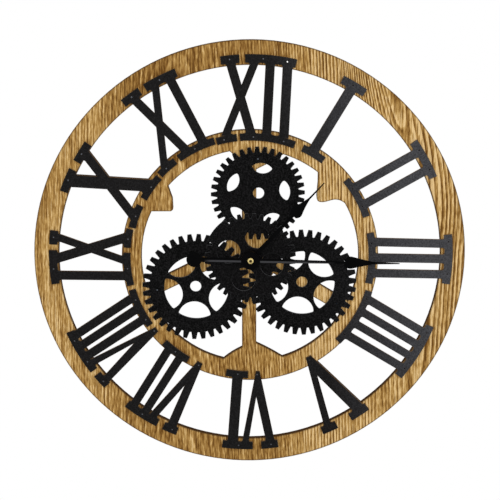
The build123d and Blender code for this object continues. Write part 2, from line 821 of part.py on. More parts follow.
def small_wheel(teeth, turn, place, back, front):
    pitch_radius = wheel_module * teeth / 2
    root = pitch_radius - wheel_module * tooth_depth_share
    tip = pitch_radius + wheel_module * tooth_rise_share
    outline = toothed_outline(root, tip, teeth, turn, tooth_base_share, 0)
    return slab(Pos(*place) * outline, back, front - back)


def wheel_at(teeth, turn, place, level):
    return small_wheel(teeth, turn, place, level, level + wheel_thickness)


def pinion_at(teeth, turn, place, level):
    """A pinion a little longer than the wheel that it meets."""
    front = level + wheel_thickness + pinion_overlap
    return small_wheel(teeth, turn, place, level - pinion_overlap, front)


def train_arbor(place):
    return disc(arbor_radius, cover_front - pivot_depth, train_plate_front, place)


def train_wheel(name, wheel_teeth, wheel_level, pinion_teeth, pinion_level):
    """A wheel and a pinion on one arbor."""
    solid = wheel_at(wheel_teeth, turns[name], arbors[name], wheel_level)
    solid += pinion_at(pinion_teeth, turns[name], arbors[name], pinion_level)
    return solid + train_arbor(arbors[name])


def third_wheel():
    return train_wheel("third", third_wheel_teeth, third_level, third_pinion_teeth, centre_level)


def second_wheel():
    return train_wheel("second", second_wheel_teeth, second_level, second_pinion_teeth, third_level)


def intermediate_wheel():
    return train_wheel(
        "intermediate", intermediate_wheel_teeth, rotor_level,
        intermediate_pinion_teeth, second_level,
    )


def rotor():
    """The magnet that the coil turns, with its pinion."""
    place = arbors["rotor"]
    solid = pinion_at(rotor_pinion_teeth, turns["rotor"], place, rotor_level)
    half = rotor_magnet_length / 2
    solid += disc(rotor_magnet_radius, stator_middle - half, stator_middle + half, place)
    return solid + train_arbor(place)


def centre_wheel():
    """The wheel that the train turns, gripped by the minute arbor's two collars."""
    solid = wheel_at(centre_wheel_teeth, 0, (0, 0), centre_level)
    bore = minute_shaft_radius + running_gap
    return solid - disc(bore, centre_level, centre_level + wheel_thickness)


def minute_arbor():
    """The shaft of the minute hand, with a pivot, two collars and the cannon pinion."""
    wheel_front = centre_level + wheel_thickness
    collar_back = centre_level - clutch_collar_thickness
    solid = disc(arbor_radius, cover_front - pivot_depth, collar_back)
    solid += disc(minute_shaft_radius, collar_back, minute_boss_front + hand_nut_height / 2)
    solid += disc(clutch_collar_radius, collar_back, centre_level)
    solid += disc(clutch_collar_radius, wheel_front, wheel_front + clutch_collar_thickness)
    return solid + pinion_at(cannon_teeth, 0, (0, 0), minute_level)


def minute_wheel():
    place = arbors["minute"]
    solid = wheel_at(minute_wheel_teeth, turns["minute"], place, minute_level)
    solid += pinion_at(minute_pinion_teeth, turns["minute"], place, hour_level)
    return solid + disc(arbor_radius, train_plate_back, front_wall_back + pivot_depth, place)


def hour_wheel():
    """The wheel and pipe that carry the hour hand round the minute shaft."""
    solid = wheel_at(hour_wheel_teeth, turns["hour"], (0, 0), hour_level)
    solid += disc(hour_collar_radius, hour_level, front_wall_back - end_gap)
    solid += disc(hour_pipe_radius, hour_level, hour_boss_front)
    return solid - disc(minute_shaft_radius + running_gap, hour_level, hour_boss_front)


def setting_knob():
    """The knob at the back that turns the hands."""
    place = arbors["setting"]
    grip = toothed_outline(
        knob_radius - knob_ridge_height, knob_radius, knob_ridges, 0,
        tooth_root_share, tooth_tip_share,
    )
    back = (cover_recess - knob_thickness) / 2
    solid = slab(Pos(*place) * grip, back, knob_thickness)
    solid += disc(setting_shaft_radius, back, front_wall_back + pivot_depth, place)
    return solid + pinion_at(setting_teeth, turns["setting"], place, minute_level)


# Fixed parts of the movement

def rounded_plate(left, bottom, right, top, corner):
    middle = Pos((left + right) / 2, (bottom + top) / 2)
    return middle * RectangleRounded(right - left, top - bottom, corner)


def case_outline():
    return rounded_plate(-case_half, -case_half, case_half, case_half, case_corner)


def screw_places():
    low = bay_wall_top + case_wall + screw_post_radius
    return [(-screw_place, screw_place), (screw_place, low)]


def arbor_holes(names, back, front, radius):
    holes = Part()
    for name in names:
        holes += disc(radius + running_gap, back, front, arbors[name])
    return holes


def movement_case():
    """The housing: front wall, side walls, and a trough for the battery below."""
    gear_room = Rectangle(2 * case_inside, case_inside - bay_wall_top)
    gear_room = Pos(0, (case_inside + bay_wall_top) / 2) * gear_room
    battery_room = Pos(0, battery_place) * Rectangle(2 * case_inside, battery_bay)
    solid = slab(case_outline(), 0, case_depth)
    solid -= slab(gear_room, 0, front_wall_back)
    solid -= slab(battery_room, 0, front_wall_back)
    solid -= block(-case_half, bay_wall_top, case_half, case_half, 0, cover_front)
    solid -= disc(bushing_radius, front_wall_back, case_depth)
    for place in screw_places():
        solid += disc(screw_post_radius, cover_front, front_wall_back, place)
        solid -= disc(screw_radius + screw_clearance, cover_front, cover_front + screw_length, place)
    solid -= arbor_holes(["minute"], front_wall_back, front_wall_back + pivot_depth, arbor_radius)
    solid -= arbor_holes(
        ["setting"], front_wall_back, front_wall_back + pivot_depth, setting_shaft_radius)
    for place in plate_post_places():
        solid += disc(stator_post_radius, train_plate_front, front_wall_back, place)
    for place in circuit_post_places():
        solid += disc(stator_post_radius, circuit_front(), front_wall_back, place)
    return solid - contact_room()


def case_cover():
    """The back plate, with a rim round the knob's recess and the tab that hangs the clock."""
    rim = rounded_plate(-case_half, bay_wall_top, case_half, case_half, case_corner)
    inside = rounded_plate(
        -case_inside, bay_wall_top + case_wall, case_inside, case_inside, case_corner - case_wall)
    tab = rounded_plate(
        -hook_tab_width / 2, case_half - case_corner, hook_tab_width / 2,
        hook_rise + hook_tab_top, case_corner,
    )
    solid = slab(rim, 0, cover_front) - slab(inside, 0, cover_recess)
    solid += slab(tab, 0, hook_tab_thickness)
    solid -= disc(hook_hole_radius, 0, hook_tab_thickness, (0, hook_rise))
    pockets = ["centre", "third", "second", "intermediate", "rotor"]
    solid -= arbor_holes(pockets, cover_front - pivot_depth, cover_front, arbor_radius)
    solid -= arbor_holes(["setting"], cover_recess, cover_front, setting_shaft_radius)
    for place in screw_places():
        solid -= disc(screw_radius + screw_clearance, cover_recess, cover_front, place)
    return solid


def cover_screws():
    solids = []
    for place in screw_places():
        head = disc(screw_head_radius, cover_recess - screw_head_height, cover_recess, place)
        solids.append(head + disc(screw_radius, cover_recess, cover_recess + screw_length, place))
    return Compound(solids)


def plate_post_places():
    """Posts that hold the train plate off the front wall."""
    left = arbors["setting"][0] + knob_radius / 2
    right = arbors["rotor"][0] + stator_post_radius
    return [(left, screw_place), (right, bay_wall_top + case_wall)]


def train_plate():
    """The plate that carries the front pivots of the train, and the stator's two posts."""
    left = arbors["setting"][0] - 2 * setting_shaft_radius
    solid = block(
        left, bay_wall_top, stator_left(), case_inside, train_plate_back, train_plate_front)
    solid += block(
        stator_left(), stator_bottom(), stator_right_of_bar(), case_inside,
        train_plate_back, train_plate_front,
    )
    pivots = ["third", "second", "intermediate", "rotor", "minute"]
    solid -= arbor_holes(pivots, train_plate_back, train_plate_front, arbor_radius)
    solid -= arbor_holes(["centre"], train_plate_back, train_plate_front, minute_shaft_radius)
    solid -= arbor_holes(["setting"], train_plate_back, train_plate_front, setting_shaft_radius)
    for z in stator_leg_places():
        solid += disc(
            stator_post_radius, stator_back + stator_thickness, train_plate_back,
            (arbors["rotor"][0], z),
        )
    return solid


# Motor and circuit

def stator_left():
    return arbors["rotor"][0] - stator_width / 2


def stator_right_of_bar():
    return arbors["rotor"][0] + stator_width / 2


def stator_bottom():
    return arbors["rotor"][1] - coil_length / 2 - stator_leg_width


def stator_top():
    return arbors["rotor"][1] + coil_length / 2 + stator_leg_width


def stator_leg_places():
    return [stator_bottom() + stator_leg_width / 2, stator_top() - stator_leg_width / 2]


def coil_place():
    return arbors["rotor"][0] + coil_distance


def stator():
    """An iron loop that runs through the coil and round the rotor."""
    right = coil_place() + core_width / 2
    front = stator_back + stator_thickness
    solid = block(stator_left(), stator_bottom(), right, stator_top(), stator_back, front)
    solid -= block(
        stator_right_of_bar(), stator_bottom() + stator_leg_width, right - core_width,
        stator_top() - stator_leg_width, stator_back, front,
    )
    bore = rotor_magnet_radius + rotor_air_gap
    return solid - disc(bore, stator_back, front, arbors["rotor"])


def coil():
    """Wire wound on a bobbin round the stator's long leg."""
    length = coil_length
    middle = Pos(coil_place(), -stator_middle, arbors["rotor"][1])
    solid = middle * Cylinder(coil_radius, length)
    shift = (length - coil_flange_thickness) / 2
    for end in (-shift, shift):
        solid += middle * Pos(0, 0, end) * Cylinder(coil_flange_radius, coil_flange_thickness)
    return solid - middle * Box(core_width, stator_thickness, length)


def circuit_right():
    return case_inside - 2 * screw_post_radius - end_gap


def circuit_left():
    return circuit_right() - circuit_width


def circuit_front():
    return stator_back


def circuit_bottom():
    return bay_wall_top + contact_thickness


def circuit_post_places():
    middle = circuit_bottom() + circuit_height / 2
    return [
        (circuit_left() + circuit_post_inset, middle),
        (circuit_right() - circuit_post_inset, middle),
    ]


def circuit_board():
    """The board that drives the coil, with its sealed chip."""
    front = circuit_front()
    back = front - circuit_thickness
    top = circuit_bottom() + circuit_height
    solid = block(circuit_left(), circuit_bottom(), circuit_right(), top, back, front)
    place = (circuit_left() + chip_radius + end_gap, circuit_bottom() + circuit_height / 2)
    return solid + disc(chip_radius, back - chip_height, back, place)


def crystal():
    """The timing crystal, lying on the circuit board."""
    back = circuit_front() - circuit_thickness
    x = circuit_right() - crystal_length / 2
    z = circuit_bottom() + circuit_height - crystal_radius * 2
    can = Cylinder(crystal_radius, crystal_length, rotation=(0, circle / 4, 0))
    return Pos(x - crystal_radius, -(back - crystal_radius), z) * can


# Battery and contacts

def battery_depth():
    return front_wall_back - battery_clearance - battery_radius


def battery():
    """A standard AA cell, its tip against the contact on the right."""
    tip = case_inside - contact_thickness
    body = battery_length - battery_tip_length
    lying = Pos(0, -battery_depth(), battery_place) * Rot(0, circle / 4, 0)
    nub = Pos(0, 0, tip - battery_tip_length / 2) * Cylinder(battery_tip_radius, battery_tip_length)
    can = Pos(0, 0, tip - battery_tip_length - body / 2) * Cylinder(battery_radius, body)
    return lying * (can + nub)


def contact_plate(left, right):
    half = contact_width / 2
    return block(
        left, battery_place - half, right, battery_place + half,
        battery_depth() - half, battery_depth() + half,
    )


def plus_contact():
    """A flat plate at the battery's tip, with a tail up to the circuit board."""
    left = case_inside - contact_thickness
    tail_back = circuit_front() - contact_strip_width
    bend = circuit_bottom() + contact_thickness
    solid = contact_plate(left, case_inside)
    solid += block(left, battery_place, case_inside, bend, tail_back, circuit_front())
    return solid + block(
        circuit_right(), circuit_bottom(), case_inside, bend, tail_back, circuit_front())


def minus_contact():
    """A spring at the battery's flat end, with a strip along the trough."""
    right = contact_thickness - case_inside
    solid = contact_plate(-case_inside, right)
    spring_middle = right + contact_spring_length / 2
    lying = Pos(spring_middle, -battery_depth(), battery_place) * Rot(0, circle / 4, 0)
    solid += lying * Cone(contact_width / 2, battery_tip_radius, contact_spring_length)
    strip_back = front_wall_back - contact_strip_width
    end = circuit_left() + contact_strip_width
    solid += block(
        -case_inside, bay_wall_bottom - contact_thickness, end, bay_wall_bottom,
        strip_back, front_wall_back,
    )
    solid += block(
        -case_inside, battery_place, right, bay_wall_bottom, battery_depth(), front_wall_back)
    return solid + block(
        end - contact_thickness, bay_wall_bottom, end,
        circuit_bottom() + contact_thickness, circuit_front(), front_wall_back,
    )


def contact_room():
    """Slots in the trough's wall for the two contacts to pass."""
    gap = screw_clearance
    left = case_inside - contact_thickness - gap
    plus = block(
        left, bay_wall_bottom, case_inside, bay_wall_top,
        circuit_front() - contact_strip_width - gap, circuit_front() + gap,
    )
    end = circuit_left() + contact_strip_width
    return plus + block(
        end - contact_thickness - gap, bay_wall_bottom, end + gap, bay_wall_top,
        circuit_front() - gap, front_wall_back,
    )


# Parts that hold the movement to the frame

def threaded_bushing():
    """The tube that passes through the frame and the centre gear."""
    tube = disc(bushing_radius, front_wall_back, bushing_front)
    return tube - disc(bushing_bore_radius, front_wall_back, bushing_front)


def ring(outer, inner, back, front):
    return disc(outer, back, front) - disc(inner, back, front)


def gear_spacer():
    """A disc that fills the room between the hub and the centre gear."""
    return ring(spacer_radius, bushing_radius + hub_bore_clearance, board_front, cutout_front)


def washer():
    return ring(washer_radius, bushing_radius, centre_gear_front, washer_front)


def hex_nut():
    outline = RegularPolygon(hex_nut_width / 2, hex_nut_sides, major_radius=False)
    nut = slab(outline, washer_front, hex_nut_height)
    return nut - disc(bushing_radius, washer_front, hex_nut_front)


def all_nodes():
    nodes = {
        "frame_board": frame_board(),
        "numeral_nails": nails(numeral_nail_places()),
        "gear_nails": nails(gear_nail_places()),
        "top_gear": outer_gear(top_gear, top_gear_radius, top_gear_tooth, top_window()),
        "left_gear": outer_gear(left_gear, side_gear_radius, side_gear_tooth, side_window()),
        "right_gear": outer_gear(right_gear, side_gear_radius, side_gear_tooth, side_window()),
        "centre_gear": centre_gear(),
        "gear_spacer": gear_spacer(),
        "threaded_bushing": threaded_bushing(),
        "washer": washer(),
        "hex_nut": hex_nut(),
        "hour_hand": hour_hand(),
        "minute_hand": minute_hand(),
        "hand_nut": hand_nut(),
        "minute_arbor": minute_arbor(),
        "hour_wheel": hour_wheel(),
        "minute_wheel": minute_wheel(),
        "centre_wheel": centre_wheel(),
        "third_wheel": third_wheel(),
        "second_wheel": second_wheel(),
        "intermediate_wheel": intermediate_wheel(),
        "rotor": rotor(),
        "stator": stator(),
        "coil": coil(),
        "circuit_board": circuit_board(),
        "crystal": crystal(),
        "setting_knob": setting_knob(),
        "train_plate": train_plate(),
        "movement_case": movement_case(),
        "case_cover": case_cover(),
        "cover_screws": cover_screws(),
        "battery": battery(),
        "plus_contact": plus_contact(),
        "minus_contact": minus_contact(),
    }
    for shares in numeral_shares:
        nodes[shares["name"]] = numeral(shares)
    return nodes


os.makedirs("parts", exist_ok=True)
for node, solid in all_nodes().items():
    hung = Pos(0, 0, -hook_rise) * solid
    export_step(hung, "parts/" + node + ".step")
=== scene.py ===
import json
from math import radians, tau

import bpy
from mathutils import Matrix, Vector


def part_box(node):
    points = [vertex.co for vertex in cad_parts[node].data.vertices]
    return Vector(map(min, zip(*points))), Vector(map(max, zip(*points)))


# Looks for a large wall clock: a wooden frame with black numerals and gear cut-outs.
# In metres: x to the right, y into the wall, z up. The CAD nodes keep their meshes and get the
# materials below. Only the light, a floor and the camera are added.

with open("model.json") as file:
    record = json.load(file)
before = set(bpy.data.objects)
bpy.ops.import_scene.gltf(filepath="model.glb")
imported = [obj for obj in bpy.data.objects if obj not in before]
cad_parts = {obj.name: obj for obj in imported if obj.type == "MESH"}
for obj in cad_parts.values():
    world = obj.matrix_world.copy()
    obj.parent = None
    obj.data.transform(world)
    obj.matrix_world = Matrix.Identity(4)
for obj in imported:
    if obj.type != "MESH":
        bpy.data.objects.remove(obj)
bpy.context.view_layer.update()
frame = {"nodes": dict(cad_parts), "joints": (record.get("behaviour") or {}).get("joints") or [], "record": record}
nodes = frame["nodes"]

board_low, board_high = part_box("frame_board")
CLOCK_RADIUS = board_high.x
shaft = next(Vector(row["pos_m"]) for row in frame["joints"] if row["name"] == "minute_turn")
# the dial's centre, on the wood's front face
DIAL = Vector((shaft.x, board_low.y, shaft.z))

# A fade is a pair of lengths: a change starts at the first and is complete at the second.

# The veneer's tone goes from dark, 0, to pale, 1. Each stave's tone and the contrast of its
# growth rings are given from the clock's left edge, 0, to its right edge, 1.
STAVES = (
    (0.00, 0.45), (0.05, 0.51), (0.07, 0.58), (0.18, 0.54), (0.25, 0.43), (0.285, 0.37),
    (0.37, 0.44), (0.45, 0.39), (0.50, 0.37), (0.57, 0.43), (0.625, 0.50), (0.645, 0.70),
    (0.70, 0.64), (0.735, 0.58), (0.775, 0.65), (0.91, 0.61), (1.00, 0.63),
)
STAVE_CONTRAST = (
    (0.00, 0.34), (0.30, 0.32), (0.62, 0.40), (0.645, 0.84), (0.69, 0.80), (0.72, 0.70),
    (0.77, 0.84), (0.81, 0.60), (0.87, 0.62), (0.91, 0.90), (1.00, 0.90),
)
# Where the wood is paler or darker than its stave: (x, z), reach, change of tone.
TONE_PATCHES = (
    ((-0.135, 0.197), 0.090, -0.15),
    ((-0.010, 0.118), 0.060, 0.20),
    ((-0.134, -0.115), 0.050, 0.20),
    ((-0.275, -0.080), 0.150, 0.13),
    ((0.234, -0.172), 0.110, -0.11),
    ((0.234, 0.098), 0.110, 0.17),
    ((0.090, -0.290), 0.090, 0.07),
)
PATCH_CORE_SHARE = 0.3                  # of its reach, where a patch is at its full change
INNER_RING_FADE = (0.21, 0.18)          # from the dial's centre
INNER_RING_CHANGES = (0.03, 0.14)       # of tone, on its left and on its right
# Painted light: the wood round the hub is paler, to make up for the shade that the gears cast on it.
HUB_PAINTED_LIGHT_FADE = (0.10, 0.07)
HUB_PAINTED_LIGHT = 0.14
LOWER_RIGHT_CHANGE = 0.07
WOOD_TONES = (
    (0.00, (0.130, 0.054, 0.008)),
    (0.25, (0.265, 0.133, 0.030)),
    (0.50, (0.385, 0.215, 0.059)),
    (0.75, (0.555, 0.350, 0.122)),
    (1.00, (0.760, 0.535, 0.255)),
)
PORE_BROWN = (0.140, 0.064, 0.015)
SCORCH_BROWN = (0.062, 0.030, 0.010)
SCORCH_REACH = 0.0021                   # the scorched line's width along a cut
BOLD_STAVE = 0.077                      # x at z = 0 where the staves with bold rings start
BOLD_STAVE_LEAN = 0.017                 # and how far that joint goes to the right per metre of z
NEUTRAL_RING = 0.40                     # the rings' value that leaves a stave's tone as it is
UPPER_RIGHT_CONTRAST = 1.35             # how much bolder the rings are there
LEAN_FADE = (0.12, 0.20)                # by x, for grain that leans over to the left
LEAN = 1.1                              # times the height squared, how far over it is
RING_SWING = 1.2                        # by how many rings good and bad years shift the rest
SWINGS_PER_METRE = 60.0
EARLY_WOOD_FADE = (0.0, 0.12)           # of a ring's width
LATE_WOOD_FADE = (0.95, 0.20)
NOISE_MEAN = 0.5

# The minute hand's painted highlight, a grey strip along its fold: its fades by the distance below
# the hand's centre line, by x, and by the distance from the shaft, where the boss is.
HAND_FALL = 0.0244                      # how far the hand at rest falls per metre to the right
TOP_FADE = (-0.0003, 0.0002)
BOTTOM_FADE = (0.0029, 0.0024)
TAIL_FADE = (-0.064, -0.056)
TIP_FADE = (0.118, 0.070)
BOSS_FADE = (0.0128, 0.0134)

GLINTING_NAIL = (0.0500, -0.0278, 0.2333)   # the nail head painted bright, a painted glint
NAIL_REACH = 0.004                      # what lies this near is that head and no other
RECESS_SHADE_FADE = (0.0024, 0.0020)         # of the brass nut's painted recess shade, from its axis
TURNING_PITCH = 0.00035                 # of the turning marks on the nut
WIRE_PITCH = 0.0003                     # of the coil's turns
CELL_FOOT = 0.00005                     # how far bare steel reaches from the cell's flat end
CELL_CAP = 0.00135                      # and from the end of its nub
CELL_BAND = 0.0141                      # how far from there its lighter band reaches


# Materials

class Graph:
    """A material whose shader nodes are added and joined by short calls.

    A value is a number, a colour as a tuple, or the output of another node."""

    def __init__(self, name):
        self.material = bpy.data.materials.new(name)
        self.material.use_nodes = True
        self.tree = self.material.node_tree
        self.tree.nodes.clear()
        output = self.add("ShaderNodeOutputMaterial")
        self.shader = self.add("ShaderNodeBsdfPrincipled")
        self.join(self.shader.outputs["BSDF"], output.inputs["Surface"])
        self.coords = self.add("ShaderNodeTexCoord").outputs["Object"]

    def add(self, kind, **settings):
        node = self.tree.nodes.new(kind)
        for key, setting in settings.items():
            setattr(node, key, setting)
        return node

    def join(self, value, socket):
        if isinstance(value, (int, float)):
            socket.default_value = value
        elif isinstance(value, tuple):
            socket.default_value = (*value, 1.0)
        else:
            self.tree.links.new(value, socket)

    def math(self, operation, first, second=0.0):
        node = self.add("ShaderNodeMath", operation=operation)
        self.join(first, node.inputs[0])
        self.join(second, node.inputs[1])
        return node.outputs[0]

    def plus(self, first, *others):
        for other in others:
            first = self.math("ADD", first, other)
        return first

    def minus(self, first, second):
        return self.math("SUBTRACT", first, second)

    def times(self, first, *others):
        for other in others:
            first = self.math("MULTIPLY", first, other)
        return first

    def scaled(self, value, factor, offset):
        return self.plus(self.times(value, factor), offset)

    def ramp(self, value, start, end):
        """0 up to start, 1 from end on, and in line between them. start may be the larger."""
        node = self.add("ShaderNodeMapRange", clamp=True)
        self.join(value, node.inputs["Value"])
        node.inputs["From Min"].default_value = start
        node.inputs["From Max"].default_value = end
        return node.outputs["Result"]

    def mix(self, amount, first, second, kind="RGBA"):
        node = self.add("ShaderNodeMix", data_type=kind)
        self.join(amount, node.inputs["Factor"])
        self.join(first, node.inputs["A"])
        self.join(second, node.inputs["B"])
        return node.outputs["Result"]

    def number_mix(self, amount, first, second):
        return self.mix(amount, first, second, kind="FLOAT")

    def colors(self, value, stops):
        """A colour for each value. stops are pairs of value and colour."""
        node = self.add("ShaderNodeValToRGB")
        elements = node.color_ramp.elements
        while len(elements) < len(stops):
            elements.new(0.5)
        for element, (place, color) in zip(elements, stops):
            element.position = place
            element.color = (*color, 1.0)
        self.join(value, node.inputs["Fac"])
        return node.outputs["Color"]

    def tones(self, value, stops):
        """A number for each value. stops are pairs of value and number."""
        return self.colors(value, [(place, (tone, tone, tone)) for place, tone in stops])

    def axis(self, name, vector=None):
        """One coordinate of a vector, or else of the point on the object."""
        node = self.add("ShaderNodeSeparateXYZ")
        self.join(vector or self.coords, node.inputs[0])
        return node.outputs[name]

    def noise_at(self, vector, detail, roughness):
        node = self.add("ShaderNodeTexNoise")
        self.join(vector, node.inputs["Vector"])
        node.inputs["Scale"].default_value = 1.0
        node.inputs["Detail"].default_value = detail
        node.inputs["Roughness"].default_value = roughness
        return node.outputs["Fac"]

    def noise(self, per_metre, detail, roughness):
        """Noise on the object. per_metre is one number, or one for each of x, y and z."""
        mapping = self.add("ShaderNodeMapping")
        even = isinstance(per_metre, float)
        mapping.inputs["Scale"].default_value = (per_metre,) * 3 if even else per_metre
        self.join(self.coords, mapping.inputs["Vector"])
        return self.noise_at(mapping.outputs["Vector"], detail, roughness)

    def distance(self, place):
        """How far a point is from place, (x, z), seen from the front."""
        x = self.minus(self.axis("X"), place[0])
        z = self.minus(self.axis("Z"), place[1])
        return self.math("SQRT", self.plus(self.times(x, x), self.times(z, z)))

    def facing_wall(self):
        """1 on faces that look forward or back, 0 on the cut edges."""
        normal = self.add("ShaderNodeNewGeometry").outputs["Normal"]
        return self.ramp(self.math("ABSOLUTE", self.axis("Y", normal)), 0.45, 0.55)

    def near_edge(self, reach):
        """1 along the edges of a flat sheet, 0 a little way in from them."""
        node = self.add("ShaderNodeAmbientOcclusion", inside=True, only_local=True, samples=6)
        node.inputs["Distance"].default_value = reach
        return self.ramp(node.outputs["AO"], 0.97, 0.70)

    def bump(self, height, strength, distance):
        node = self.add("ShaderNodeBump")
        node.inputs["Strength"].default_value = strength
        node.inputs["Distance"].default_value = distance
        self.join(height, node.inputs["Height"])
        self.join(node.outputs["Normal"], self.shader.inputs["Normal"])

    def finish(self, **values):
        names = {
            "color": "Base Color", "roughness": "Roughness", "metallic": "Metallic",
            "specular": "Specular IOR Level",
        }
        for key, value in values.items():
            self.join(value, self.shader.inputs[names[key]])
        return self.material


def growth_rings(g, x, z, warp, centre, depth, rise, per_metre, crowding):
    """The grain of a flat-sawn board: rings cut far from the log's centre, closing in arches.

    The log's centre line is depth behind the board, at x = centre. Each metre of z up cuts
    rings that lie rise further out. crowding brings the rings closer together to the left of
    the centre. The result is 1 in the dark early wood and 0 in the pale late wood."""
    across = g.minus(x, centre)
    left = g.math("MINIMUM", across, 0.0)
    across = g.minus(across, g.times(left, left, crowding))
    away = g.math("SQRT", g.plus(g.times(across, across), depth * depth))
    reach = g.plus(g.times(z, rise), away, warp)
    along = g.add("ShaderNodeCombineXYZ")
    g.join(g.times(reach, SWINGS_PER_METRE), along.inputs["X"])
    uneven = g.noise_at(along.outputs["Vector"], detail=2.0, roughness=0.60)
    ring = g.math("FRACT", g.plus(g.times(reach, per_metre), g.times(uneven, RING_SWING)))
    # the early wood starts sharply and fades into the late wood
    return g.times(g.ramp(ring, *EARLY_WOOD_FADE), g.ramp(ring, *LATE_WOOD_FADE))


def veneer_rings(g, x, z):
    """The change of tone that the growth rings make."""
    slow = g.minus(g.noise((7.0, 7.0, 2.0), detail=2.0, roughness=0.50), NOISE_MEAN)
    quick = g.minus(g.noise((60.0, 60.0, 9.0), detail=3.0, roughness=0.55), NOISE_MEAN)
    warp = g.plus(g.times(slow, 0.020), g.times(quick, 0.0026))
    above = g.math("MAXIMUM", z, 0.0)
    leaning = g.plus(x, g.times(above, above, g.ramp(x, *LEAN_FADE), LEAN))
    bold = growth_rings(
        g, leaning, z, warp, centre=0.234, depth=0.020, rise=-0.052, per_metre=200.0, crowding=0.5,
    )
    plain = growth_rings(
        g, x, z, warp, centre=-0.10, depth=0.09, rise=0.07, per_metre=300.0, crowding=0.0,
    )
    joint = g.minus(x, g.times(z, BOLD_STAVE_LEAN))
    rings = g.number_mix(g.math("GREATER_THAN", joint, BOLD_STAVE), plain, bold)
    contrast = g.tones(g.ramp(x, -CLOCK_RADIUS, CLOCK_RADIUS), STAVE_CONTRAST)
    upper_right = g.times(g.ramp(x, -0.02, 0.02), g.ramp(z, 0.00, 0.10))
    contrast = g.times(contrast, g.number_mix(upper_right, 1.0, UPPER_RIGHT_CONTRAST))
    return g.times(g.minus(NEUTRAL_RING, rings), contrast)


def veneer_tone(g, fibre):
    """How pale the veneer is, from 0 to 1."""
    x = g.axis("X")
    z = g.axis("Z")
    staves = g.tones(g.ramp(x, -CLOCK_RADIUS, CLOCK_RADIUS), STAVES)
    streak = g.noise((120.0, 120.0, 2.6), detail=3.0, roughness=0.55)
    cloud = g.noise((16.0, 16.0, 6.0), detail=3.0, roughness=0.55)
    fleck = g.noise((520.0, 520.0, 100.0), detail=2.0, roughness=0.60)
    tone = g.plus(staves, veneer_rings(g, x, z))
    for grain, amount in ((fibre, 2.10), (streak, 0.50), (cloud, 0.10), (fleck, 1.50)):
        tone = g.plus(tone, g.times(g.minus(grain, NOISE_MEAN), amount))
    radius = g.distance((DIAL.x, DIAL.z))
    ring_change = g.number_mix(g.ramp(x, -0.04, 0.08), *INNER_RING_CHANGES)
    lower_right = g.times(g.ramp(x, 0.05, 0.12), g.ramp(z, 0.0, -0.10))
    tone = g.plus(
        tone,
        g.times(g.ramp(radius, *INNER_RING_FADE), ring_change),
        # painted light round the hub
        g.times(g.ramp(radius, *HUB_PAINTED_LIGHT_FADE), HUB_PAINTED_LIGHT),
        g.times(lower_right, LOWER_RIGHT_CHANGE),
    )
    for place, reach, change in TONE_PATCHES:
        inside = g.ramp(g.distance(place), reach, PATCH_CORE_SHARE * reach)
        tone = g.plus(tone, g.times(inside, change))
    return tone


def wood():
    """Oak veneer with upright fibres, open pores and growth rings, scorched along the cuts."""
    g = Graph("oak_veneer")
    fibre = g.noise((520.0, 520.0, 11.0), detail=4.0, roughness=0.62)
    pores = g.ramp(g.noise((760.0, 760.0, 34.0), detail=2.0, roughness=0.50), 0.57, 0.70)
    face = g.colors(veneer_tone(g, fibre), WOOD_TONES)
    face = g.mix(g.times(pores, 0.60), face, PORE_BROWN)
    face = g.mix(g.times(g.near_edge(SCORCH_REACH), 0.85), face, SCORCH_BROWN)
    mottle = g.noise((60.0, 20.0, 60.0), detail=3.0, roughness=0.60)
    burnt = g.mix(mottle, (0.024, 0.010, 0.002), (0.085, 0.037, 0.009))
    flat = g.facing_wall()
    g.bump(g.minus(g.times(fibre, 0.6), pores), strength=0.25, distance=0.0004)
    roughness = g.number_mix(flat, 1.0, g.scaled(fibre, 0.18, 0.50))
    return g.finish(color=g.mix(flat, burnt, face), roughness=roughness, specular=0.05)


def black_board(name, base, edge_light, edge_dark, painted_sheen, gloss):
    """Board with a black face. fade is how much painted sheen greys the face towards the upper right, where it
    catches more light.
    """
    g = Graph(name)
    speckle = g.noise(520.0, detail=3.0, roughness=0.70)
    cloud = g.noise(14.0, detail=3.0, roughness=0.55)
    face = g.mix(cloud, base, tuple(1.6 * part for part in base))
    face = g.mix(g.times(g.ramp(speckle, 0.44, 0.66), 0.60), face, (0.021, 0.020, 0.021))
    # painted sheen: the face is greyer towards the upper right, where more light falls on it
    grey = g.mix(g.ramp(speckle, 0.36, 0.68), (0.030, 0.030, 0.033), (0.076, 0.076, 0.083))
    side = g.plus(g.axis("X"), g.times(g.axis("Z"), 0.20))
    face = g.mix(g.times(g.ramp(side, 0.07, 0.235), painted_sheen), face, grey)
    grain = g.noise((110.0, 30.0, 110.0), detail=3.0, roughness=0.60)
    edge = g.mix(grain, edge_dark, edge_light)
    # the face is lighter along its rim, in the edge's colour
    face = g.mix(g.times(g.near_edge(0.0006), 0.22), face, edge)
    flat = g.facing_wall()
    g.bump(speckle, strength=0.40, distance=0.00022)
    roughness = g.number_mix(flat, 1.0, g.scaled(cloud, 0.14, 0.46))
    return g.finish(color=g.mix(flat, edge, face), roughness=roughness, specular=gloss)


def fold_painted_highlight(g):
    """1 on the side of the minute hand's fold that catches the light, where a highlight is painted."""
    x = g.axis("X")
    below = g.minus(g.minus(DIAL.z, g.times(x, HAND_FALL)), g.axis("Z"))
    strip = g.times(g.ramp(below, *TOP_FADE), g.ramp(below, *BOTTOM_FADE))
    ends = g.times(g.ramp(x, *TAIL_FADE), g.ramp(x, *TIP_FADE))
    clear_of_boss = g.ramp(g.math("ABSOLUTE", x), *BOSS_FADE)
    return g.times(strip, ends, clear_of_boss, g.facing_wall())


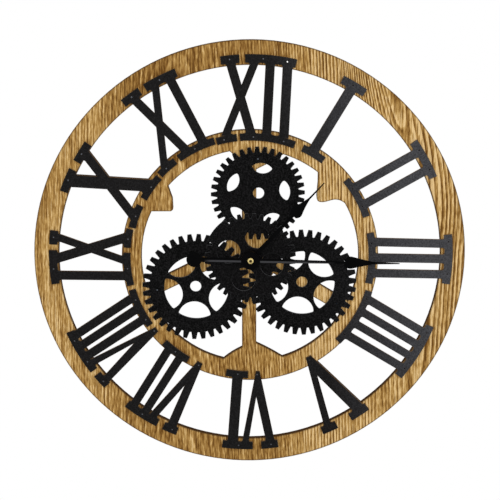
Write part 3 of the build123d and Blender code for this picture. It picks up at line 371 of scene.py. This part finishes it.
def hand_lacquer(name, has_painted_highlight):
    """Black lacquered sheet. shines is for the minute hand, whose fold catches the light and gets a painted
    highlight.
    """
    g = Graph(name)
    cloud = g.noise(60.0, detail=3.0, roughness=0.50)
    color = g.mix(cloud, (0.0006, 0.0006, 0.0007), (0.0022, 0.0022, 0.0025))
    if has_painted_highlight:
        # painted highlight: a grey strip where the fold catches the light
        color = g.mix(fold_painted_highlight(g), color, (0.046, 0.046, 0.049))
    g.bump(g.noise(900.0, detail=2.0, roughness=0.50), strength=0.12, distance=0.0001)
    return g.finish(color=color, roughness=g.scaled(cloud, 0.10, 0.30), specular=0.02)


def metal(name, light, dark, roughness):
    """Brushed metal, a little stained."""
    g = Graph(name)
    brushed = g.noise((260.0, 26.0, 260.0), detail=4.0, roughness=0.60)
    stain = g.noise(40.0, detail=3.0, roughness=0.55)
    color = g.mix(g.ramp(stain, 0.35, 0.75), light, dark)
    g.bump(brushed, strength=0.10, distance=0.00008)
    return g.finish(color=color, roughness=g.scaled(brushed, 0.16, roughness), metallic=1.0)


def nail_steel():
    """Blackened nail heads, bluish on the left and darker on the right, but for one head painted bright as a
    glint.
    """
    g = Graph("nail_steel")
    apart = g.add("ShaderNodeVectorMath", operation="DISTANCE")
    g.join(g.coords, apart.inputs[0])
    apart.inputs[1].default_value = GLINTING_NAIL
    # painted glint: the one nail head here is made bright
    bright = g.math("LESS_THAN", apart.outputs["Value"], NAIL_REACH)
    haze = g.noise(600.0, detail=3.0, roughness=0.50)
    color = g.mix(haze, (0.115, 0.130, 0.150), (0.050, 0.058, 0.072))
    color = g.mix(g.ramp(g.axis("X"), 0.03, 0.10), color, (0.004, 0.006, 0.010))
    color = g.mix(bright, color, (0.90, 0.90, 0.88))
    g.bump(haze, strength=0.10, distance=0.00006)
    return g.finish(color=color, roughness=g.scaled(haze, 0.14, 0.30), metallic=1.0)


def brass_nut():
    """Turned brass, with painted shade round the hole, where its recess lies in shadow."""
    g = Graph("brass_nut")
    radius = g.distance((DIAL.x, DIAL.z))
    # painted shade: dark, unmetallic brass round the hole stands in for its shadowed recess
    recess_shade = g.times(g.ramp(radius, *RECESS_SHADE_FADE), g.facing_wall())
    haze = g.noise(300.0, detail=3.0, roughness=0.50)
    color = g.mix(haze, (0.92, 0.76, 0.34), (0.74, 0.56, 0.20))
    color = g.mix(recess_shade, color, (0.012, 0.008, 0.003))
    turning = g.math("SINE", g.times(radius, tau / TURNING_PITCH))
    g.bump(turning, strength=0.12, distance=0.00004)
    return g.finish(
        color=color, roughness=g.scaled(haze, 0.12, 0.24), metallic=g.minus(1.0, recess_shade),
        specular=0.05,
    )


def plastic(name, light, dark, roughness, texture=1400.0, bump=0.18):
    """Moulded plastic. texture is how often its grain repeats per metre, bump its strength."""
    g = Graph(name)
    cloud = g.noise(30.0, detail=3.0, roughness=0.50)
    g.bump(g.noise(texture, detail=2.0, roughness=0.50), strength=bump, distance=0.00006)
    return g.finish(
        color=g.mix(cloud, light, dark), roughness=g.scaled(cloud, 0.14, roughness),
        specular=0.42,
    )


def copper_wire():
    """The coil's winding, its turns one above the other."""
    g = Graph("copper_winding")
    turns = g.math("SINE", g.times(g.axis("Z"), tau / WIRE_PITCH))
    # painted shade and highlight: the colour is darker in the grooves between the turns and paler on their crests
    color = g.mix(g.ramp(turns, -1.0, 1.0), (0.30, 0.10, 0.04), (0.62, 0.28, 0.13))
    g.bump(turns, strength=0.35, distance=0.00005)
    return g.finish(color=color, roughness=0.34, metallic=0.9)


def cell_sleeve():
    """The battery: a plain dark sleeve with a lighter band and bare steel ends."""
    g = Graph("cell_sleeve")
    low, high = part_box("battery")
    x = g.axis("X")
    band = g.math("GREATER_THAN", x, high.x - CELL_BAND)
    foot = g.math("LESS_THAN", x, low.x + CELL_FOOT)
    end = g.plus(foot, g.math("GREATER_THAN", x, high.x - CELL_CAP))
    haze = g.noise(50.0, detail=3.0, roughness=0.50)
    color = g.mix(haze, (0.020, 0.045, 0.110), (0.030, 0.062, 0.150))
    color = g.mix(band, color, (0.52, 0.36, 0.14))
    color = g.mix(end, color, (0.60, 0.60, 0.61))
    return g.finish(color=color, roughness=g.scaled(haze, 0.10, 0.24), metallic=end, specular=0.5)


# by the record's material slots
MATERIALS = {
    "oak_board": wood(),
    "black_board": black_board(
        "black_faced_board", base=(0.0042, 0.0038, 0.0038),
        edge_light=(0.260, 0.165, 0.085), edge_dark=(0.070, 0.038, 0.017), painted_sheen=1.0, gloss=0.05,
    ),
    "black_metal": hand_lacquer("black_hand_lacquer", has_painted_highlight=False),
    "nail_steel": nail_steel(),
    "brass": metal("brass", (0.60, 0.40, 0.14), (0.42, 0.26, 0.08), 0.20),
    "iron": metal("plated_steel", (0.60, 0.60, 0.61), (0.46, 0.46, 0.47), 0.26),
    "magnet": metal("magnet", (0.10, 0.10, 0.105), (0.06, 0.06, 0.065), 0.42),
    "copper_wire": copper_wire(),
    "cell_sleeve": cell_sleeve(),
    "white_plastic": plastic(
        "white_acetal", (0.70, 0.70, 0.66), (0.62, 0.62, 0.57), 0.38, texture=900.0, bump=0.08,
    ),
    "black_plastic": plastic("black_moulding", (0.012, 0.012, 0.013), (0.020, 0.020, 0.021), 0.52),
    "green_laminate": plastic(
        "green_laminate", (0.018, 0.120, 0.040), (0.012, 0.085, 0.030), 0.36,
    ),
}

# the gears are painted black all over; the pale colour of their cut walls and rims is a painted highlight, and
# their faces take a little painted sheen towards the upper right
gear_paint = black_board(
    "black_gear_paint", base=(0.0006, 0.0006, 0.0006),
    edge_light=(0.130, 0.130, 0.135), edge_dark=(0.050, 0.050, 0.054), painted_sheen=0.16, gloss=0.03,
)
OWN_MATERIALS = {
    "top_gear": gear_paint,
    "left_gear": gear_paint,
    "right_gear": gear_paint,
    "centre_gear": gear_paint,
    "hand_nut": brass_nut(),
    "minute_arbor": metal(
        "tarnished_brass", (0.060, 0.042, 0.018), (0.028, 0.019, 0.008), 0.34,
    ),
    "minute_hand": hand_lacquer("black_minute_lacquer", has_painted_highlight=True),
}

slots = {row["node"]: row["material_slot"] for row in frame["record"]["subparts"]}
for name, node in nodes.items():
    node.data.materials.clear()
    node.data.materials.append(OWN_MATERIALS.get(name) or MATERIALS[slots[name]])


# Light, floor and camera

WHITE = (1.0, 1.0, 1.0, 1.0)
FLOOR_GREY = (0.80, 0.80, 0.80, 1.0)
FLOOR_SIZE = 14.0
FLOOR_HEIGHT = -1.30
AMBIENT = 0.72

# The camera as fitted to the photograph: lengths in millimetres, angles in degrees, and its
# place from the dial's centre in metres.
SENSOR_WIDTH = 36.0
LENS = 91.24
CAMERA_DIP = 12.01044                   # how far it looks down
CAMERA_TURN = -1.06811                  # about the upright, here to the right
CAMERA_PLACE = Vector((-0.0325, -1.7256, 0.3776))


def area_light(name, place, width, height, power):
    """A soft lamp that looks at the dial."""
    data = bpy.data.lights.new(name, "AREA")
    data.shape = "RECTANGLE"
    data.size = width
    data.size_y = height
    data.energy = power
    lamp = bpy.data.objects.new(name, data)
    bpy.context.collection.objects.link(lamp)
    lamp.location = place
    lamp.rotation_euler = (DIAL - Vector(place)).to_track_quat("-Z", "Y").to_euler()


def seen_as_white(owner, output_kind, shader_kind, shader_values, white_kind):
    """Give the world or a material a shader that lights, while the camera and clear
    reflections see plain white, which lights nothing."""
    owner.use_nodes = True
    tree = owner.node_tree
    tree.nodes.clear()
    shader = tree.nodes.new(shader_kind)
    for key, value in shader_values.items():
        shader.inputs[key].default_value = value
    white = tree.nodes.new(white_kind)
    white.inputs["Color"].default_value = WHITE
    white.inputs["Strength"].default_value = 1.0
    path = tree.nodes.new("ShaderNodeLightPath")
    seen = path.outputs["Is Camera Ray"]
    for ray in ("Is Transmission Ray", "Is Glossy Ray"):
        either = tree.nodes.new("ShaderNodeMath")
        either.operation = "ADD"
        either.use_clamp = True
        tree.links.new(seen, either.inputs[0])
        tree.links.new(path.outputs[ray], either.inputs[1])
        seen = either.outputs[0]
    mix = tree.nodes.new("ShaderNodeMixShader")
    tree.links.new(seen, mix.inputs[0])
    tree.links.new(shader.outputs[0], mix.inputs[1])
    tree.links.new(white.outputs[0], mix.inputs[2])
    output = tree.nodes.new(output_kind)
    tree.links.new(mix.outputs[0], output.inputs["Surface"])


world = bpy.data.worlds.new("studio")
bpy.context.scene.world = world
seen_as_white(
    world, "ShaderNodeOutputWorld",
    "ShaderNodeBackground", {"Color": WHITE, "Strength": AMBIENT}, "ShaderNodeBackground",
)

bpy.ops.mesh.primitive_plane_add(size=FLOOR_SIZE, location=(0.0, 0.0, FLOOR_HEIGHT))
floor = bpy.context.active_object
floor.name = "studio_floor"
floor_material = bpy.data.materials.new("studio_floor")
seen_as_white(
    floor_material, "ShaderNodeOutputMaterial",
    "ShaderNodeBsdfDiffuse", {"Color": FLOOR_GREY}, "ShaderNodeEmission",
)
floor.data.materials.append(floor_material)

area_light("front_softbox", (-0.55, -2.9, 0.95), width=1.9, height=1.6, power=28.0)
area_light("side_fill", (1.9, -2.3, 0.3), width=1.6, height=1.6, power=10.5)

camera_data = bpy.data.cameras.new("photo_camera")
camera_data.sensor_width = SENSOR_WIDTH
camera_data.lens = LENS
camera_data.clip_start = 0.05
camera = bpy.data.objects.new("photo_camera", camera_data)
bpy.context.collection.objects.link(camera)
camera.location = DIAL + CAMERA_PLACE
camera.rotation_euler = (radians(90.0 - CAMERA_DIP), 0.0, radians(CAMERA_TURN))
bpy.context.scene.camera = camera
bpy.context.scene.view_settings.view_transform = "Standard"
